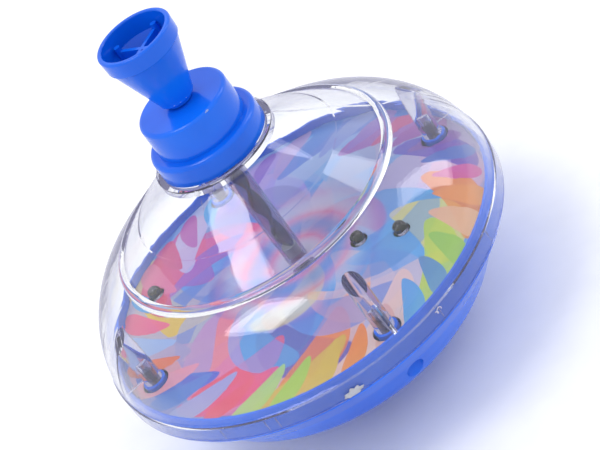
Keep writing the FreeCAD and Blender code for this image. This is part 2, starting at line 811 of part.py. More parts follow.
def board_parts():
    top = d.board_level + d.board_thick
    blob = turned("chip_blob", [(0, 0), (3.6, 0), (0.3, 1.5, 2.3, 1.1), (0, 1.5)])
    node("chip", on_board(blob, 8.0, top, 0.8))
    chips = []
    for number, lamp in enumerate((d.led_inner - 9.0, d.led_middle + 4.2, d.led_far + 8.0)):
        part = centred_box(f"resistor_{number}", 3.2, 1.6, 0.6)
        chips.append(on_board(part, lamp, top, 3.6))
    node("resistors", group("resistor_group", *chips))
    radius = Size.of(1.9)
    can = doc.addObject("Part::Cylinder", "switch_can")
    bind(can, Radius=radius, Height=9.5)
    x, y = polar(-24.0, d.led_line)
    node("motion_switch", lay_down(can, x, y, top + radius, d.led_line))


# ---------------------------------------------------------------- batteries


def battery_holder():
    deck = d.floor_level + d.base_wall
    long, wide = d.door_depth + 6.0, d.door_width + 6.0
    plate = in_bay(centred_box("holder_plate", long, wide, 1.4), z=deck)
    case = in_bay(centred_box("holder_case", 16.0, 26.0, d.holder_height), y=d.cells_at, z=deck)
    nose = in_bay(cylinder("holder_nose", 3.0, 6.0), y=d.door_screw_at, z=deck)
    space = centred_box("holder_cavity", 13.2, 22.6, d.holder_height - 0.5)
    cavity = in_bay(space, y=d.cells_at, z=deck - 1.0)
    hole = in_bay(cylinder("holder_hole", 1.0, 5.5), y=d.door_screw_at, z=deck - 0.5)
    solid = fuse("holder_solid", plate, case, nose)
    return node("battery_holder", cut("holder", solid, fuse("holder_space", cavity, hole)))


def cells():
    stack = []
    middle = d.floor_level + d.base_wall + 7.2
    for number in (-1, 0, 1):
        cell = doc.addObject("Part::Cylinder", f"cell_{number + 1}")
        bind(cell, Radius=d.cell_radius, Height=d.cell_thick - 0.1)
        x, y = bay_point(d.cell_thick * (number + 0.5) + d.cells_at)
        stack.append(lay_down(cell, x, y, middle, d.bay_angle - 90.0))
    return node("button_cells", group("cell_group", *stack))


def battery_contacts():
    plates = []
    deck = d.floor_level + d.base_wall
    for number, side in enumerate((-1, 1)):
        plate = centred_box(f"contact_{number}", 9.0, 0.4, 11.0)
        plates.append(in_bay(plate, y=d.cells_at + side * 10.9, z=deck + 1.6))
    return node("battery_contacts", group("contact_group", *plates))


def battery_door():
    under = d.floor_level
    plate = in_bay(centred_box("door_plate", d.door_depth, d.door_width, d.base_wall), z=under)
    well = in_bay(cylinder("door_well", 2.6, 2.0), y=d.door_screw_at, z=under - 0.9)
    hole = in_bay(cylinder("door_hole", 1.3, 5.0), y=d.door_screw_at, z=under - 1.0)
    grips = []
    for number in range(4):
        grip = centred_box(f"door_grip_{number}", 10.0, 1.0, 1.0)
        grips.append(in_bay(grip, y=2.4 * number - 14.0, z=under - 0.5))
    return node("battery_door", cut("door", plate, fuse("door_cuts", well, hole, *grips)))


def screw(name, head_radius, head_height, thread_radius, thread_length):
    """A pan head screw that points up, with its head below z = 0 and a cross slot in it."""
    steps = [
        (0, -head_height),
        (head_radius * 0.6, -head_height),
        (head_radius, -head_height * 0.35, head_radius * 0.9, -head_height * 0.8),
        (head_radius, 0),
        (thread_radius, 0),
        (thread_radius, thread_length - thread_radius),
        (0, thread_length),
    ]
    arms = []
    for number in range(2):
        arm = centred_box(f"{name}_slot_{number}", head_radius * 1.1, head_radius * 0.26, 1.0)
        arms.append(place(arm, z=-head_height - 0.3, turn=Size.of(90.0 * number)))
    return cut(name, turned(name + "_solid", steps), fuse(name + "_slots", *arms))


def balance_weight():
    deck = d.floor_level + d.base_wall
    block = in_bay(centred_box("weight_block", 15.0, 24.0, 5.0), z=deck, side=-1)
    hole = cylinder("weight_hole", d.peg_radius + 0.1, 8.0, *bay_point(0.0, side=-1), d.floor_level)
    return node("balance_weight", cut("weight", block, hole))


def fixings():
    thread, small = d.screw_radius.value, d.peg_screw.value
    case_screws = []
    for number, x, y in quarter_points():
        fixing = screw(f"case_screw_{number}", d.screw_head.value, 1.9, thread, d.screw_length.value)
        case_screws.append(place(fixing, x, y, d.well_top))
    node("assembly_screws", group("case_screws", *case_screws))
    board_screws = []
    for number, x, y in peg_points():
        fixing = screw(f"board_screw_{number}", 2.1, 1.2, small, 6.0)
        board_screws.append(turn_over(fixing, x, y, d.board_level + d.board_thick))
    node("board_screws", group("board_screw_group", *board_screws))
    fixing = screw("weight_screw_body", 3.6, 1.4, small, 4.5)
    node("weight_screw", turn_over(fixing, *bay_point(0.0, side=-1), d.floor_level + 7.0))
    fixing = screw("door_screw_body", 2.3, 1.0, 1.0, 5.2)
    node("door_screw", in_bay(fixing, y=d.door_screw_at, z=d.floor_level + 1.1))


def battery_wires():
    """Two short leads from the battery holder up to the circuit board."""
    leads = []
    deck = d.floor_level + d.base_wall
    case_edge = d.bay_radius - 6.0
    for number, side in enumerate((-1, 1)):
        px, py = polar(case_edge, d.bay_angle)
        qx, qy = polar(d.cells_at + 8.0 * side, d.bay_angle + 90.0)
        start = Vector((px + qx).value, (py + qy).value, (deck + d.holder_height).value)
        ex, ey = polar(5.0 * side + 4.0, d.led_line)
        end = Vector(ex.value, ey.value, d.board_level.value - 0.2)
        middle = (start + end) * 0.5 + Vector(0, 0, 1.5)
        rise = Vector(0, 0, 3.0)
        route = Part.BSplineCurve()
        route.interpolate([start, start + rise, middle, end - rise, end])
        spine = Part.Wire(route.toShape())
        profile = Part.Wire(Part.makeCircle(0.6, start, Vector(0, 0, 1)))
        lead = doc.addObject("Part::Feature", f"wire_{number}")
        lead.Shape = spine.makePipeShell([profile], True, True)
        leads.append(lead)
    return node("battery_wires", group("wire_group", *leads))


# ---------------------------------------------------------------- foot


def foot():
    radius, height = d.foot_radius, d.foot_height
    shoulder = radius + 1.2
    tip = new_body("tip")
    revolve(tip, "tip_solid", [
        (0, 0),
        (d.foot_flat, 0),
        (radius, 4.4, radius * 0.78, 1.5),
        (radius, height - 1.4),
        (shoulder, height - 1.0),
        (shoulder, height),
        (d.foot_pin, height),
        (d.foot_pin, d.pin_foot),
        (0, d.pin_foot),
    ])
    node("foot_tip", tip)
    groove_top = d.groove_level + d.clip_thick
    pin = new_body("pin")
    revolve(pin, "pin_solid", [
        (0, d.pin_foot),
        (d.foot_pin, d.pin_foot),
        (d.foot_pin, d.groove_level),
        (d.groove_radius, d.groove_level),
        (d.groove_radius, groove_top),
        (d.foot_pin, groove_top),
        (d.foot_pin, d.pin_top - 0.5),
        (d.foot_pin - 0.5, d.pin_top),
        (0, d.pin_top),
    ])
    node("foot_pin", pin)
    bush = new_body("bush")
    ring(bush, "bush_ring", d.bush_bore, d.bush_radius, d.hub_foot, d.bush_top - d.hub_foot)
    node("foot_bush", bush)
    clip = new_body("clip")
    ring(clip, "clip_ring", d.groove_radius, d.clip_radius, d.groove_level, d.clip_thick)
    node("foot_clip", clip)
    rim = d.hub_radius - 1.0
    cap = new_body("hub_plug")
    revolve(cap, "hub_plug_disc", [
        (0, d.hub_top - 0.8),
        (d.bush_radius, d.hub_top - 0.8),
        (d.bush_radius, d.hub_top),
        (rim, d.hub_top),
        (rim, d.hub_top + 1.0),
        (0, d.hub_top + 1.0),
    ])
    node("hub_cap", cap)


# ---------------------------------------------------------------- build and save

dome()
base_bowl()
collar()
upper_cap()
guide_tube()
ratchet_ring()
drive_strip()
drive_nut()
thrust_washer()
stop_bush()
knob()
cross_pin()
printed_disc()
lights()
circuit_board()
board_parts()
battery_holder()
cells()
battery_contacts()
battery_door()
balance_weight()
fixings()
battery_wires()
foot()
doc.recompute()

for obj in doc.Objects:
    if "Invalid" in obj.State or "Error" in obj.State:
        raise RuntimeError(f"{obj.Name} is {obj.State}")

os.makedirs("parts", exist_ok=True)
for obj in NODES:
    shape = obj.Shape
    if shape.isNull() or not shape.isValid() or not shape.Solids:
        raise RuntimeError(f"{obj.Label} has no valid shape")
    print(f"{obj.Label:18s} {len(shape.Solids)} solids {shape.Volume / 1000:8.2f} cm3")
    shape.exportStep(f"parts/{obj.Label}.step")
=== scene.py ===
import json
import math

import bmesh
import bpy
from mathutils import Matrix, Vector, noise
from mathutils.bvhtree import BVHTree


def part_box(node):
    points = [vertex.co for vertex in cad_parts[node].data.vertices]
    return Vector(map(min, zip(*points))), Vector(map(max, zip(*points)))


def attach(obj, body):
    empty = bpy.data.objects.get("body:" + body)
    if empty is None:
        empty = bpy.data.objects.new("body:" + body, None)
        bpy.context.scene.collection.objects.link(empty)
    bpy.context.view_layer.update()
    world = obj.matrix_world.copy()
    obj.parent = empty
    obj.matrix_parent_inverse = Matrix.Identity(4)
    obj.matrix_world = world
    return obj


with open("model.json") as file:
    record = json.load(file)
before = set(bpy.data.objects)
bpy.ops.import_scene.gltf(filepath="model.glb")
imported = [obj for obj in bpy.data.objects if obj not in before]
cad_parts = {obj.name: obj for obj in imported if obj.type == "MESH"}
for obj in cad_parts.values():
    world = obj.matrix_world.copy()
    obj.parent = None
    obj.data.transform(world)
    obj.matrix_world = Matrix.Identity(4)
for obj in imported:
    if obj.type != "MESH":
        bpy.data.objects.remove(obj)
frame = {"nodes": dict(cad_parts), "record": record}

bpy.context.view_layer.update()
NODES = frame["nodes"]
MM = 0.001

# ---------------------------------------------------------------- places read from the frame

DISC_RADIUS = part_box("printed_disc")[1].x
BOARD_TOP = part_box("circuit_board")[1].z

# ---------------------------------------------------------------- node materials


class Tree:
    """A material's node tree, with short calls to add and join its nodes."""

    def __init__(self, name):
        self.material = bpy.data.materials.new(name)
        self.material.use_nodes = True
        self.tree = self.material.node_tree
        self.tree.nodes.clear()

    def add(self, kind, inputs=None, **settings):
        """Adds ShaderNode<kind>.

        inputs maps a socket's name or number to a value or to another socket.
        """
        node = self.tree.nodes.new("ShaderNode" + kind)
        for name, value in settings.items():
            setattr(node, name, value)
        for name, value in (inputs or {}).items():
            if isinstance(value, bpy.types.NodeSocket):
                self.tree.links.new(value, node.inputs[name])
            else:
                node.inputs[name].default_value = value
        return node

    def math(self, operation, a, b=0.0, c=0.0):
        return self.add("Math", {0: a, 1: b, 2: c}, operation=operation).outputs[0]

    def blend(self, share, a, b, mode="MIX"):
        """A colour between a and b."""
        node = self.add("Mix", {0: share, 6: a, 7: b}, data_type="RGBA", blend_type=mode)
        return node.outputs[2]

    def between(self, value, low, high, out_low=0.0, out_high=1.0):
        """value, carried smoothly from low..high to out_low..out_high."""
        node = self.add(
            "MapRange",
            {0: value, 1: low, 2: high, 3: out_low, 4: out_high},
            interpolation_type="SMOOTHSTEP",
        )
        return node.outputs[0]

    def noise(self, vector, scale, detail=2.0, roughness=0.5):
        node = self.add(
            "TexNoise",
            {"Vector": vector, "Scale": scale, "Detail": detail, "Roughness": roughness},
        )
        return node.outputs[0]

    def ramp(self, share, stops, interpolation="LINEAR"):
        """A colour ramp from (position, colour) stops."""
        node = self.add("ValToRGB", {0: share})
        node.color_ramp.interpolation = interpolation
        elements = node.color_ramp.elements
        while len(elements) < len(stops):
            elements.new(0.5)
        for element, (position, colour) in zip(elements, stops):
            element.position = position
            element.color = rgba(colour)
        return node.outputs[0]

    def place(self):
        """Where the shaded point is, in metres, in the piece's own frame."""
        return self.add("TexCoord").outputs["Object"]

    def bump(self, height, distance, strength=1.0, under=None):
        """A normal raised by height, on top of another bump's where under is given."""
        inputs = {"Height": height, "Distance": distance, "Strength": strength}
        if under is not None:
            inputs["Normal"] = under
        return self.add("Bump", inputs).outputs[0]

    def mix(self, share, a, b):
        """A shader between shaders a and b."""
        return self.add("MixShader", {0: share, 1: a, 2: b}).outputs[0]

    def finish(self, shader):
        self.add("OutputMaterial", {"Surface": shader})
        return self.material


def rgba(colour, share=1.0):
    """A colour as a node takes it: opaque, with its channels scaled by share."""
    return (*(channel * share for channel in colour), 1.0)


def principled(tree, **inputs):
    """A Principled shader. An input's name is its socket's, with _ for a space."""
    named = {name.replace("_", " "): value for name, value in inputs.items()}
    return tree.add("BsdfPrincipled", named).outputs[0]


def moulded_plastic(name, deep, light, roughness=0.14, ripple_height=0.0035 * MM):
    """Glossy injection-moulded plastic: slow colour drift, faint flow marks and fine scuffs."""
    tree = Tree(name)
    place = tree.place()
    drift = tree.noise(place, scale=28.0, detail=3.0)
    scuffs = tree.noise(place, scale=900.0, detail=4.0, roughness=0.6)
    ripple = tree.noise(place, scale=45.0)
    shader = principled(
        tree,
        Base_Color=tree.blend(tree.between(drift, 0.3, 0.7), rgba(deep), rgba(light)),
        Roughness=tree.between(scuffs, 0.35, 0.75, roughness * 0.9, roughness * 1.25),
        Normal=tree.bump(ripple, ripple_height),
        IOR=1.5,
        Specular_IOR_Level=0.34,
    )
    return tree.finish(shader)


def matte_plastic(name, colour, roughness):
    """Plain moulded plastic with a fine grain."""
    tree = Tree(name)
    place = tree.place()
    drift = tree.noise(place, scale=150.0, detail=3.0)
    grain = tree.noise(place, scale=2500.0, detail=3.0)
    shader = principled(
        tree,
        Base_Color=tree.blend(tree.between(drift, 0.3, 0.7), rgba(colour, 0.82), rgba(colour)),
        Roughness=tree.between(grain, 0.3, 0.7, roughness * 0.85, roughness * 1.15),
        Normal=tree.bump(grain, 0.03 * MM),
        IOR=1.47,
    )
    return tree.finish(shader)


def metal(name, colour, roughness, streak=(300.0, 300.0, 6000.0)):
    """Drawn or turned metal with fine streaks. streak is their scale along each axis."""
    tree = Tree(name)
    stretched = tree.add("Mapping", {"Vector": tree.place(), "Scale": streak}).outputs[0]
    lines = tree.noise(stretched, scale=1.0, detail=3.0, roughness=0.6)
    shader = principled(
        tree,
        Base_Color=tree.blend(tree.between(lines, 0.3, 0.7), rgba(colour, 0.78), rgba(colour)),
        Metallic=1.0,
        Roughness=tree.between(lines, 0.25, 0.75, roughness * 0.7, roughness * 1.4),
        Normal=tree.bump(lines, 0.01 * MM),
    )
    return tree.finish(shader)


MILK = (0.58, 0.58, 0.78)
HAIRLINES = (900.0, 120.0, 400.0)
# the number of bounces at which haze sets in and is full, and the most of it
HAZE_STARTS, HAZE_FULL, HAZE_MOST = 3.0, 7.0, 0.9


def clear_plastic(name, tint, wave=0.12, roughness=0.0, milkiness=0.4):
    """Clear polystyrene: uneven walls, hairline scratches and a little haze towards its edges.

    Two rendering aids keep it from turning black. Light that has bounced often inside it comes
    out as pale haze, and shadow rays pass straight through. wave is in millimetres.
    """
    tree = Tree(name)
    place = tree.place()
    waves = tree.noise(place, scale=42.0, detail=2.0, roughness=0.4)
    hairs = tree.add("Mapping", {"Vector": place, "Scale": HAIRLINES}).outputs[0]
    hairs = tree.noise(hairs, scale=1.0, detail=4.0, roughness=0.65)
    scratches = tree.between(hairs, 0.62, 0.8)
    glass = principled(
        tree,
        Base_Color=rgba(tint),
        Roughness=tree.between(scratches, 0.0, 1.0, roughness, roughness + 0.12),
        IOR=1.49,
        Specular_IOR_Level=0.3,
        Transmission_Weight=1.0,
        Normal=tree.bump(scratches, 0.004 * MM, 0.5, under=tree.bump(waves, wave * MM)),
    )
    milk = tree.add("BsdfDiffuse", {"Color": rgba(MILK)}).outputs[0]
    glow = tree.add("BsdfTranslucent", {"Color": rgba(MILK)}).outputs[0]
    facing = tree.add("LayerWeight", {"Blend": 0.5}).outputs["Facing"]
    edge_haze = tree.between(facing, 0.5, 1.0, 0.0, milkiness)
    light_path = tree.add("LightPath").outputs
    bounces = light_path["Ray Depth"]
    deep_haze = tree.between(bounces, HAZE_STARTS, HAZE_FULL, 0.0, HAZE_MOST)
    cloud = tree.math("MAXIMUM", edge_haze, deep_haze)
    body = tree.mix(cloud, glass, tree.mix(0.5, milk, glow))
    faint_tint = rgba([0.5 + 0.5 * channel for channel in tint])
    see_through = tree.add("BsdfTransparent", {"Color": faint_tint}).outputs[0]
    return tree.finish(tree.mix(light_path["Is Shadow Ray"], body, see_through))


# ---------------------------------------------------------------- the printed picture


BLUE, SKY, DEEP = (0.015, 0.14, 0.58), (0.07, 0.33, 0.75), (0.03, 0.04, 0.33)
VIOLET, LILAC, PINK = (0.13, 0.06, 0.4), (0.4, 0.34, 0.7), (0.78, 0.13, 0.32)
MAGENTA, RED, ORANGE = (0.5, 0.02, 0.19), (0.74, 0.06, 0.07), (0.78, 0.2, 0.03)
YELLOW, LIME, GREEN = (0.78, 0.6, 0.08), (0.36, 0.56, 0.05), (0.06, 0.36, 0.12)
TEAL, PEACH, LEMON = (0.01, 0.26, 0.36), (0.8, 0.42, 0.3), (1.0, 0.95, 0.6)
SLATE, ROSE, PEARL = (0.3, 0.36, 0.62), (0.72, 0.3, 0.42), (0.72, 0.68, 0.76)


def headings(*stops):
    """Colour stops round the disc, from directions in degrees counted from +X."""
    return [((degrees + 180.0) / 360.0, colour) for degrees, colour in stops]


HUES_ROUND = headings(
    (-178, ORANGE), (-165, RED), (-150, PINK), (-133, RED), (-120, GREEN), (-108, LIME),
    (-98, ORANGE), (-88, PEACH), (-74, SKY), (-60, BLUE), (-52, TEAL), (-45, LIME),
    (-34, YELLOW), (-27, ORANGE), (-18, PINK), (0, BLUE), (15, VIOLET), (28, MAGENTA),
    (42, SKY), (60, BLUE), (76, VIOLET), (92, LILAC), (114, SKY), (128, MAGENTA),
    (146, PINK), (158, RED), (170, YELLOW),
)


def picture_material():
    """A generic swirl of overlapping translucent leaves and fingers in rainbow colours on blue."""
    tree = Tree("picture_print")
    place = tree.place()
    split = tree.add("SeparateXYZ", {0: place})
    flat = tree.add("CombineXYZ", {0: split.outputs[0], 1: split.outputs[1], 2: 0.0}).outputs[0]
    reach = tree.add("VectorMath", {0: flat}, operation="LENGTH").outputs["Value"]
    radius = tree.math("DIVIDE", reach, DISC_RADIUS)
    turn = tree.math("ARCTAN2", split.outputs[1], split.outputs[0])
    turn = tree.math("DIVIDE", turn, 2.0 * math.pi)

    def leaf_hue(index, count, phase, lean, lot):
        """The colour of one leaf, from the direction that its middle points in."""
        heading = tree.math("ADD", index, 0.5 - phase)
        heading = tree.math("SUBTRACT", tree.math("DIVIDE", heading, float(count)), lean)
        jitter = tree.math("MULTIPLY_ADD", lot, 0.07, -0.035)
        # half a turn, because the colours start at -180 degrees, and two more to stay above zero
        heading = tree.math("FRACT", tree.math("ADD", tree.math("ADD", heading, jitter), 2.5))
        return tree.ramp(heading, HUES_ROUND)

    def ring(
        colour, count, phase, swirl, middle, half_length, half_width, cool, opacity, soft=0.03
    ):
        """Lays one ring of leaves over colour.

        middle and half_length are shares of the disc's radius, and half_width is a share of a
        leaf's sector. cool is the share of leaves that are blue whatever way they point.
        """
        twisted = tree.math("MULTIPLY_ADD", radius, swirl, turn)
        sector = tree.math("MULTIPLY_ADD", twisted, float(count), phase)
        index = tree.math("FLOOR", sector)
        across = tree.math("SUBTRACT", tree.math("SUBTRACT", sector, index), 0.5)
        # the sector number wraps round, so that a leaf keeps one colour on both sides of the seam
        index = tree.math("MODULO", tree.math("ADD", index, 4.0 * count), float(count))
        seed = tree.math("ADD", index, phase * 7.0 + count)
        chance = tree.add("TexWhiteNoise", {"W": seed}, noise_dimensions="1D").outputs["Color"]
        chance = tree.add("SeparateColor", {0: chance})
        size = tree.math("MULTIPLY_ADD", chance.outputs[0], 0.35, 0.8)
        length = tree.math("MULTIPLY", size, half_length)
        along = tree.math("DIVIDE", tree.math("SUBTRACT", radius, middle), length)
        taper = tree.math("MULTIPLY_ADD", along, 0.35, 1.0)
        width = tree.math("MULTIPLY", tree.math("MULTIPLY", taper, size), half_width)
        endwise = tree.math("POWER", tree.math("ABSOLUTE", along), 2.4)
        sideways = tree.math("ABSOLUTE", tree.math("DIVIDE", across, width))
        sideways = tree.math("POWER", sideways, 2.0)
        spread = tree.math("ADD", endwise, sideways)
        mask = tree.between(spread, 1.0 + soft, 1.0 - soft)
        share = tree.math("MULTIPLY", mask, opacity)
        paint = leaf_hue(index, count, phase, middle * swirl, chance.outputs[1])
        blues = tree.ramp(chance.outputs[1], [(0.0, SKY), (0.35, BLUE), (0.7, DEEP)], "CONSTANT")
        paint = tree.blend(tree.math("LESS_THAN", chance.outputs[2], cool), paint, blues)
        paleness = tree.between(chance.outputs[0], 0.45, 1.0, 0.0, 0.5)
        paint = tree.blend(paleness, paint, rgba(PEARL))
        warmth = tree.between(along, -1.0, 1.0, 0.0, 0.35)
        paint = tree.blend(warmth, paint, rgba(LEMON), "SOFT_LIGHT")
        return tree.blend(share, colour, paint)

    swirl_noise = tree.noise(flat, scale=26.0, detail=2.0)
    ground = tree.math("MULTIPLY_ADD", swirl_noise, 0.6, tree.math("MULTIPLY", radius, 0.5))
    colour = tree.ramp(ground, [(0.2, VIOLET), (0.4, BLUE), (0.6, SKY), (0.8, BLUE), (1.0, DEEP)])
    colour = ring(
        colour, count=7, phase=0.15, swirl=0.22, middle=0.62, half_length=0.42, half_width=0.46,
        cool=0.55, opacity=0.7,
    )
    colour = ring(
        colour, count=9, phase=0.55, swirl=-0.2, middle=0.6, half_length=0.34, half_width=0.42,
        cool=0.3, opacity=0.75,
    )
    colour = ring(
        colour, count=11, phase=0.3, swirl=0.16, middle=0.72, half_length=0.24, half_width=0.4,
        cool=0.45, opacity=0.65,
    )
    colour = ring(
        colour, count=8, phase=0.8, swirl=-0.28, middle=0.5, half_length=0.26, half_width=0.36,
        cool=0.4, opacity=0.5,
    )
    colour = ring(
        colour, count=13, phase=0.1, swirl=0.3, middle=0.84, half_length=0.15, half_width=0.42,
        cool=0.2, opacity=0.8,
    )
    colour = ring(
        colour, count=33, phase=0.45, swirl=0.12, middle=0.86, half_length=0.14, half_width=0.38,
        cool=0.12, opacity=0.92,
    )
    colour = ring(
        colour, count=6, phase=0.35, swirl=0.5, middle=0.3, half_length=0.2, half_width=0.44,
        cool=0.5, opacity=0.45, soft=0.15,
    )
    rings = tree.math("SINE", tree.math("MULTIPLY", radius, 21.0))
    bands = tree.math("MULTIPLY_ADD", rings, 0.5, 0.5)
    veil = tree.ramp(bands, [(0.0, SLATE), (0.5, ROSE), (1.0, PEARL)])
    halo = tree.between(radius, 0.56, 0.2)
    colour = tree.blend(tree.math("MULTIPLY", halo, 0.7), colour, veil)
    vivid = {"Color": colour, "Saturation": 1.5, "Value": 0.82}
    colour = tree.add("HueSaturation", vivid).outputs[0]
    dots = tree.add("TexVoronoi", {"Vector": flat, "Scale": 4200.0}).outputs["Distance"]
    colour = tree.blend(tree.between(dots, 0.2, 0.6, 0.0, 0.06), colour, rgba((1.0, 1.0, 1.0)))
    paper = tree.noise(flat, scale=3000.0, detail=3.0)
    shader = principled(
        tree,
        Base_Color=colour,
        Roughness=tree.between(paper, 0.3, 0.7, 0.3, 0.45),
        Normal=tree.bump(paper, 0.01 * MM),
        Coat_Weight=0.3,
        Coat_Roughness=0.2,
    )
    return tree.finish(shader)


# ---------------------------------------------------------------- finishes on the CAD nodes

GLOSS = moulded_plastic("blue_gloss", (0.0015, 0.1, 0.66), (0.003, 0.14, 0.8))
CLEAR = clear_plastic("clear_shell", (0.985, 0.99, 1.0))
CLEAR_TUBE = clear_plastic("clear_tube", (0.97, 0.98, 0.99), wave=0.03)
WHITE = matte_plastic("white_nylon", (0.78, 0.78, 0.75), 0.42)
BLACK = matte_plastic("black_abs", (0.02, 0.02, 0.022), 0.4)
BOARD = matte_plastic("green_board", (0.02, 0.16, 0.05), 0.35)
SHEATH = matte_plastic("wire_sheath", (0.55, 0.02, 0.02), 0.45)
STEEL = metal("bright_steel", (0.46, 0.46, 0.49), 0.14)
BRASS = metal("turned_brass", (0.8, 0.6, 0.28), 0.25, (300.0, 300.0, 4000.0))
FOOT = matte_plastic("worn_foot", (0.7, 0.7, 0.68), 0.35)
LAMP = clear_plastic("lamp_epoxy", (0.9, 0.92, 0.94), wave=0.01, milkiness=0.06)
SILVER = metal("lamp_frame", (0.7, 0.7, 0.72), 0.25)
PICTURE = picture_material()

FINISHES = {
    "blue_plastic": GLOSS,
    "clear_plastic": CLEAR,
    "white_plastic": WHITE,
    "printed_sheet": PICTURE,
    "lamp_plastic": LAMP,
    "board": BOARD,
    "black_plastic": BLACK,
    "steel": STEEL,
    "brass_bush": BRASS,
    "foot_plastic": FOOT,
    "wire_sheath": SHEATH,
}


def dress_frame():
    for row in frame["record"]["subparts"]:
        obj = NODES[row["node"]]
        finish = FINISHES[row["material_slot"]]
        obj.data.materials.clear()
        obj.data.materials.append(finish)
    NODES["guide_tube"].data.materials[0] = CLEAR_TUBE


dress_frame()

# ---------------------------------------------------------------- pieces added to the CAD nodes


def new_piece(name, mesh, finish, body="housing"):
    """Adds a mesh as a piece that rides on a body."""
    mesh.name = name
    piece = bpy.data.objects.new(name, mesh)
    bpy.context.scene.collection.objects.link(piece)
    mesh.materials.append(finish)
    for face in mesh.polygons:
        face.use_smooth = True
    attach(piece, body)
    return piece


def mesh_of(shape):
    """Turns a bmesh into a mesh, and frees it."""
    mesh = bpy.data.meshes.new("piece")
    shape.to_mesh(mesh)
    shape.free()
    return mesh


def lathe(profile, centre, segments=32):
    """A closed ring of (radius, height) points turned about an upright line through centre."""
    shape = bmesh.new()
    rows = []
    for step in range(segments):
        turn = 2.0 * math.pi * step / segments
        out = Vector((math.cos(turn), math.sin(turn), 0.0))
        rows.append([shape.verts.new(centre + out * r + Vector((0, 0, h))) for r, h in profile])
    for step in range(segments):
        row, following = rows[step], rows[(step + 1) % segments]
        for point in range(len(profile)):
            after = (point + 1) % len(profile)
            shape.faces.new((row[point], following[point], following[after], row[after]))
    bmesh.ops.recalc_face_normals(shape, faces=shape.faces)
    return mesh_of(shape)


def rod(points, radii, sides=10):
    """A closed round rod along points, with its own radius at each of them."""
    shape = bmesh.new()
    rows = []
    for number, point in enumerate(points):
        before, after = points[max(number - 1, 0)], points[min(number + 1, len(points) - 1)]
        frame_turn = (after - before).to_track_quat("Z", "Y")
        row = []
        for step in range(sides):
            turn = 2.0 * math.pi * step / sides
            edge = Vector((math.cos(turn), math.sin(turn), 0.0)) * radii[number]
            row.append(shape.verts.new(point + frame_turn @ edge))
        rows.append(row)
    for row, following in zip(rows, rows[1:]):
        for step in range(sides):
            after = (step + 1) % sides
            shape.faces.new((row[step], row[after], following[after], following[step]))
    shape.faces.new(rows[0][::-1])
    shape.faces.new(rows[-1])
    bmesh.ops.recalc_face_normals(shape, faces=shape.faces)
    return mesh_of(shape)


def lamp_centres():
    """The middle of each lamp in plan, from the separate solids in its node."""
    lamps = NODES["led_lamps"]
    groups = []
    for corner in lamps.data.vertices:
        place = lamps.matrix_world @ corner.co
        near = [group for group in groups if (group[0].xy - place.xy).length < 8.0 * MM]
        if near:
            near[0].append(place)
        else:
            groups.append([place])
    centres = []
    for group in groups:
        low = Vector((min(p.x for p in group), min(p.y for p in group)))
        high = Vector((max(p.x for p in group), max(p.y for p in group)))
        centres.append((low + high) / 2)
    return centres


LAMP_CENTRES = lamp_centres()
LAMP_LINE = (LAMP_CENTRES[1] - LAMP_CENTRES[0]).normalized().to_3d()
# in millimetres: the cup's outline as (radius, height above the board), how far a lead stands from
# the lamp's middle, how high it starts and bends, the share of its distance left at its head, and
# how high the two heads are
CUP_OUTLINE = [(0.3, 2.6), (1.1, 2.6), (1.35, 4.0), (1.2, 4.0), (0.85, 3.0), (0.3, 3.0)]
LEAD_OFFSET, LEAD_START, LEAD_BEND, LEAD_LEAN = 1.1, 0.1, 2.3, 0.6
LEAD_RADII = [0.28 * MM, 0.28 * MM, 0.42 * MM]
LEADS = (("left", -1, 3.1), ("right", 1, 4.4))


def dress_lamps():
    """The metal frame inside each clear lamp: a reflector cup and two leads."""
    profile = [(radius * MM, height * MM) for radius, height in CUP_OUTLINE]
    for number, middle in enumerate(LAMP_CENTRES):
        centre = Vector((middle.x, middle.y, BOARD_TOP))
        new_piece(f"lamp_cup_{number}", lathe(profile, centre), SILVER)
        for end, side, head_height in LEADS:
            across = LAMP_LINE * (LEAD_OFFSET * MM * side)
            foot = centre + across + Vector((0, 0, LEAD_START * MM))
            knee = foot + Vector((0, 0, LEAD_BEND * MM))
            head = centre + across * LEAD_LEAN + Vector((0, 0, head_height * MM))
            name = f"lamp_lead_{number}_{end}"
            new_piece(name, rod([foot, knee, head], LEAD_RADII), SILVER)


dress_lamps()

# ---------------------------------------------------------------- small marks of moulding and use


def shell_tree(node):
    """A CAD node's surface, for finding points on it."""
    obj = NODES[node]
    corners = [obj.matrix_world @ corner.co for corner in obj.data.vertices]
    return BVHTree.FromPolygons(corners, [tuple(face.vertices) for face in obj.data.polygons])


def around(radius, degrees, height):
    """A point at a radius and a direction round the spin axis. Lengths are in millimetres."""
    turn = math.radians(degrees)
    return Vector((radius * math.cos(turn), radius * math.sin(turn), height)) * MM


def on_top(shell, radius, degrees, lift):
    """The point of a surface straight below a radius and direction, raised along its normal."""
    above = around(radius, degrees, 200.0)
    point, normal, _, _ = shell.ray_cast(above, Vector((0, 0, -1)))
    return point + normal * (lift * MM)


def blob(name, radius, degrees, height, size, finish):
    """A small uneven lump at a radius, direction and height.

    size is along the rim, outwards and up. All lengths are in millimetres.
    """
    shape = bmesh.new()
    bmesh.ops.create_icosphere(shape, subdivisions=4, radius=1.0)
    centre = around(radius, degrees, height)
    along, outwards, up = size
    tangent = around(1000.0, degrees + 90.0, 0.0)
    out = around(1000.0, degrees, 0.0)
    for corner in shape.verts:
        rough = 1.0 + 0.75 * noise.noise(corner.co * 2.1) + 0.25 * noise.noise(corner.co * 6.0)
        x, y, z = corner.co * (rough * MM)
        corner.co = centre + tangent * (x * along) + out * (y * outwards) + Vector((0, 0, z * up))
    return new_piece(name, mesh_of(shape), finish)


SKIRT_RADIUS, SKIRT_FOOT = 77.3, 44.4
SCRATCH_RADII = [width * MM for width in (0.03, 0.07, 0.1, 0.07, 0.03)]


